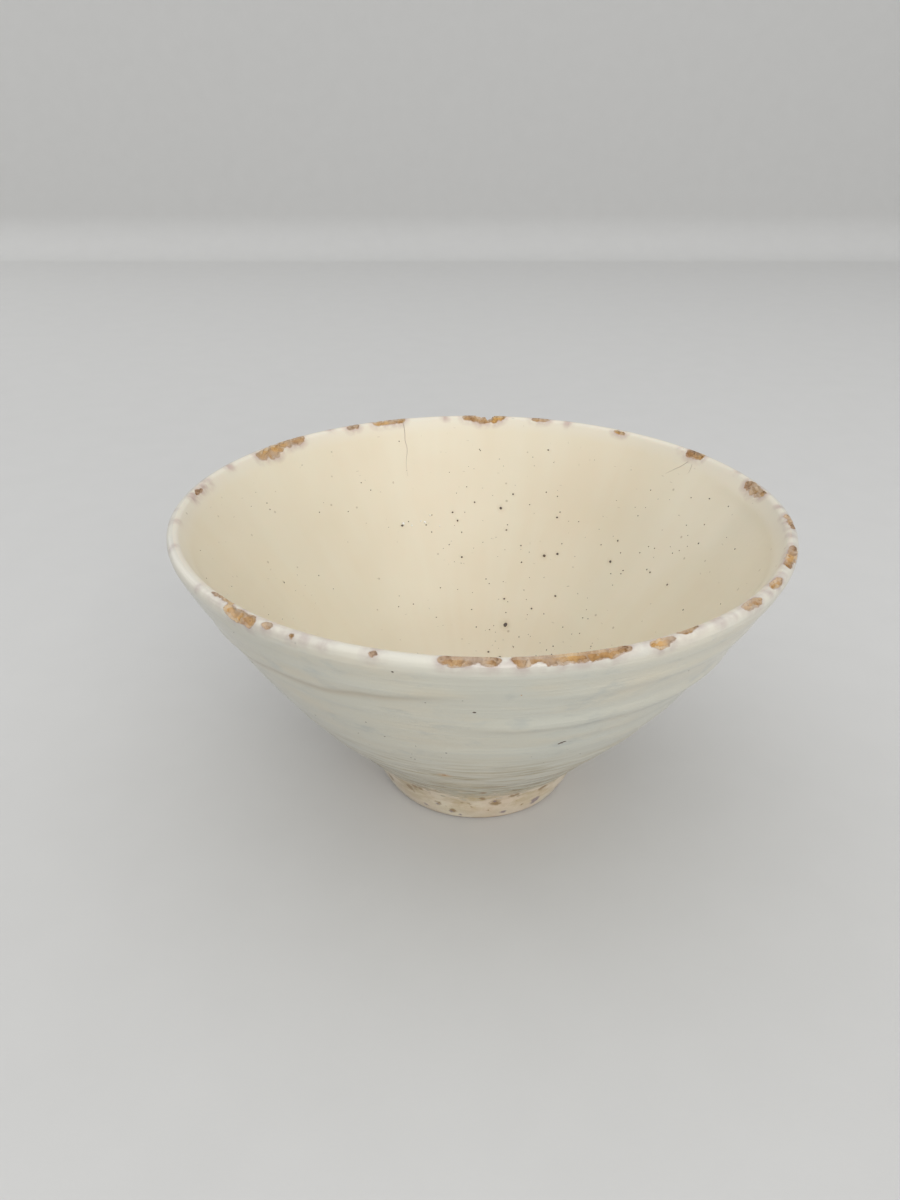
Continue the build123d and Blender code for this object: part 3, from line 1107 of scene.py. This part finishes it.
# %% Let the rim settle
RIM_WAVE = 0.45                               # most that the rim rises or sinks, mm
RIM_LEAN = 0.35                               # most that it moves sideways, mm
CAGE_WIDTH = 150
bpy.data.objects.remove(chip_cutter)
deselect_all()
bpy.ops.object.add(type="LATTICE", location=(0, 0, CREST_HEIGHT / 2 * MM))
cage = bpy.context.object
cage.scale = (CAGE_WIDTH * MM, CAGE_WIDTH * MM, CREST_HEIGHT * MM)
cage.data.points_u = cage.data.points_v = 5
cage.data.points_w = 2
dice = random.Random(3)
for point in cage.data.points:
    if point.co.z > 0:
        point.co_deform.z += dice.uniform(-RIM_WAVE, RIM_WAVE) / CREST_HEIGHT
        point.co_deform.x += dice.uniform(-RIM_LEAN, RIM_LEAN) / CAGE_WIDTH
bowl_parts = [stoneware_body, inside_glaze, outside_glaze, well_glaze]
small_parts = [specks_in, specks_out, spots_orange, blisters, *cracks]
for piece in bowl_parts + small_parts:
    settle = piece.modifiers.new("settle", "LATTICE")
    settle.object = cage
    apply_all(piece)
bpy.data.objects.remove(cage)
print("settled", len(bowl_parts), "bowl parts and", len(small_parts), "small parts")

# %% [markdown]
# ## Finishing the pieces
# Smooth shading with a limit keeps the broken edges crisp and the wall soft. Then each
# piece is hung on the root body, and the design piece that it replaces is hidden.

# %% Shade and hand over
SOFT_LIMIT = math.radians(35)                 # an edge sharper than this stays crisp
for piece in bowl_parts:
    deselect_all()
    piece.select_set(True)
    bpy.context.view_layer.objects.active = piece
    bpy.ops.object.shade_smooth_by_angle(angle=SOFT_LIMIT)

for piece, node in ((stoneware_body, "clay_body"), (inside_glaze, "inside_coat"),
                    (outside_glaze, "outside_coat"), (well_glaze, "foot_well_coat")):
    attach(piece, "root")
    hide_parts(node)
for piece in small_parts:
    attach(piece, "root")
for piece in bowl_parts + small_parts:
    piece.data.calc_loop_triangles()
    print(piece.name, len(piece.data.loop_triangles), "triangles")

# %% [markdown]
# ## Floor, light and camera
# The bowl stands on a pale sheet that curves up a metre behind it. A large soft light in
# front, a little to the right, shows the glaze, a small one behind on the left puts a glint
# on the rim, the widest hangs overhead and fills the inside, and the pale surroundings do
# the rest. The camera looks down at the bowl from just in front.

# %% Floor
pale_sheet = new_material("pale_sheet")
r = Recipe(pale_sheet)
r.bumps([(r.noise(r.place, 1500, 3), 0.15, 0.10)])
paper = r.span(r.noise(r.place, 60, 4), 0.3, 0.7)
r.finish(r.blend(paper, (0.545, 0.54, 0.525), (0.555, 0.55, 0.535)), 0.9)

SHEET = 2.4                                   # metres; it reaches 1.0 m behind the bowl
BACK_HEIGHT = 1.2
deselect_all()
bpy.ops.mesh.primitive_plane_add(size=SHEET, location=(0, -0.2, 0))
floor = bpy.context.object
floor.name = floor.data.name = "floor"
bpy.ops.object.mode_set(mode="EDIT")
bpy.ops.mesh.select_all(action="DESELECT")
bpy.ops.object.mode_set(mode="OBJECT")
for edge in floor.data.edges:
    ends = [floor.data.vertices[i].co.y for i in edge.vertices]
    edge.select = min(ends) > SHEET / 2 - 0.2     # the far edge only
bpy.ops.object.mode_set(mode="EDIT")
bpy.ops.mesh.select_mode(type="EDGE")
bpy.ops.mesh.extrude_region_move(TRANSFORM_OT_translate={"value": (0, 0, BACK_HEIGHT)})
bpy.ops.object.mode_set(mode="OBJECT")
bpy.ops.object.transform_apply(location=True, rotation=True, scale=True)
crease = floor.modifiers.new("curve", "BEVEL")
crease.width = 0.05
crease.segments = 12
apply_all(floor)
bpy.ops.object.shade_smooth()
floor.data.materials.append(pale_sheet)
print("floor", len(floor.data.polygons), "faces")


# %% Lights
def soft_light(name, place, size, power, tint=(1, 1, 1)):
    """A square lamp that looks at the middle of the bowl."""
    lamp = bpy.data.lights.new(name, "AREA")
    lamp.shape = "SQUARE"
    lamp.size = size
    lamp.energy = power
    lamp.color = tint
    holder = bpy.data.objects.new(name, lamp)
    bpy.context.collection.objects.link(holder)
    holder.location = place
    aim = Vector((0, 0, 0.04)) - Vector(place)
    holder.rotation_euler = aim.to_track_quat("-Z", "Y").to_euler()
    print(name, power, "W,", size, "m wide")


soft_light("window", (0.42, -1.30, 0.60), 1.10, 11.6, (1.0, 0.985, 0.96))
soft_light("glint", (-0.95, 0.70, 0.52), 0.70, 1.3)
soft_light("ceiling", (0.0, -0.10, 1.50), 3.60, 31.5, (0.99, 0.99, 1.0))
world = bpy.data.worlds.new("pale_room")
world.use_nodes = True
room = world.node_tree.nodes["Background"]
room.inputs["Color"].default_value = (0.93, 0.96, 1.0, 1)
room.inputs["Strength"].default_value = 0.45
bpy.context.scene.world = world
bpy.context.scene.view_settings.view_transform = "Standard"

# %% Camera
LOOK_DOWN = 28.15                             # degrees below level
lens = bpy.data.cameras.new("camera")
lens.sensor_fit = "VERTICAL"
lens.sensor_height = 36.0
lens.lens = 27.0
lens.clip_start = 0.01
camera = bpy.data.objects.new("camera", lens)
bpy.context.collection.objects.link(camera)
camera.location = (-0.0069, -0.1952, 0.1530)
camera.rotation_euler = (math.radians(90 - LOOK_DOWN), 0, 0)
bpy.context.scene.camera = camera
print("camera", round(camera.location.length, 3), "m from the foot, looking down", LOOK_DOWN)
